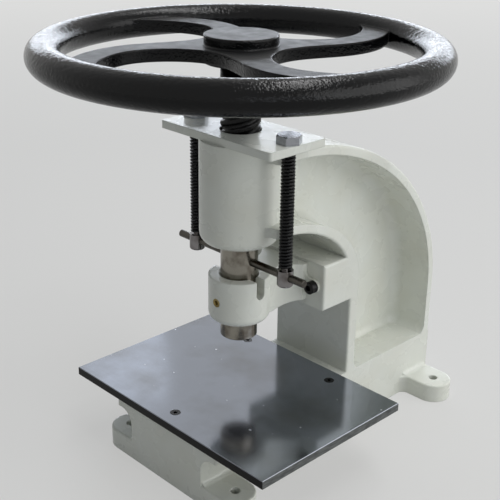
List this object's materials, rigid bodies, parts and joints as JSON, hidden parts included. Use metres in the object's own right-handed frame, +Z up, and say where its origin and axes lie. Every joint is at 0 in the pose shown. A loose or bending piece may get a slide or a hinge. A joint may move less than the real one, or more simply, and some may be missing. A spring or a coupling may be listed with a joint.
{
  "type": "manual punch press",
  "caption": "Bench press with a curved cast frame, a work table and a sprung round ram that a spoked handwheel drives down with a steep screw.",
  "frame": {"origin": "on the underside of the base, under the axis of the ram", "axes": "+Z up along the ram and the lead screw, +Y towards the column at the back, +X to the right as seen from the front"},
  "size_m": [0.4, 0.4675, 0.4496],
  "materials": {
    "cream_paint": "satin",
    "ground_steel": "ground",
    "black_screw": "black oxide",
    "bronze": "machined",
    "brass": "machined",
    "plated_bolt": "zinc plated",
    "spring_steel": "black oxide",
    "ram_steel": "ground",
    "dark_steel": "oiled",
    "bright_steel": "turned",
    "black_enamel": "gloss"
  },
  "bodies": {
    "frame_body": {"frame_casting": "cream_paint", "table_plate": "ground_steel", "table_screws": "black_screw", "ram_bush": "bronze", "screw_nut": "bronze", "nut_lock_screw": "black_screw", "guide_arm": "cream_paint", "guide_oiler": "brass", "guide_screw_left": "black_screw", "guide_screw_right": "black_screw", "hanger_bolt_left": "plated_bolt", "hanger_bolt_right": "plated_bolt", "spring_left": "spring_steel", "spring_right": "spring_steel"},
    "ram_body": {"ram": "ram_steel", "thrust_washer": "bronze", "ram_retaining_screw": "black_screw", "tool_clamp_screw": "black_screw", "crossbar": "dark_steel", "spring_collar_left": "bright_steel", "spring_collar_right": "bright_steel", "collar_screws": "black_screw"},
    "wheel_body": {"lead_screw": "dark_steel", "handwheel": "black_enamel", "wheel_key": "bright_steel", "hub_set_screw": "black_screw"}
  },
  "joints": [
    {"name": "ram_slide", "type": "slide", "parent": "frame_body", "child": "ram_body", "axis": [0, 0, -1], "range_m": [0, 0.033], "stiffness_N_per_m": 36000, "springref_m": -0.005, "deforming": ["spring_left", "spring_right"]},
    {"name": "wheel_turn", "type": "hinge", "parent": "ram_body", "child": "wheel_body", "pos_m": [0, 0, 0.43], "axis": [0, 0, -1], "range_deg": [0, 395.9]}
  ],
  "couplings": [
    {"joint": "ram_slide", "follows": "wheel_turn", "m_per_rad": 0.0047746}
  ]
}
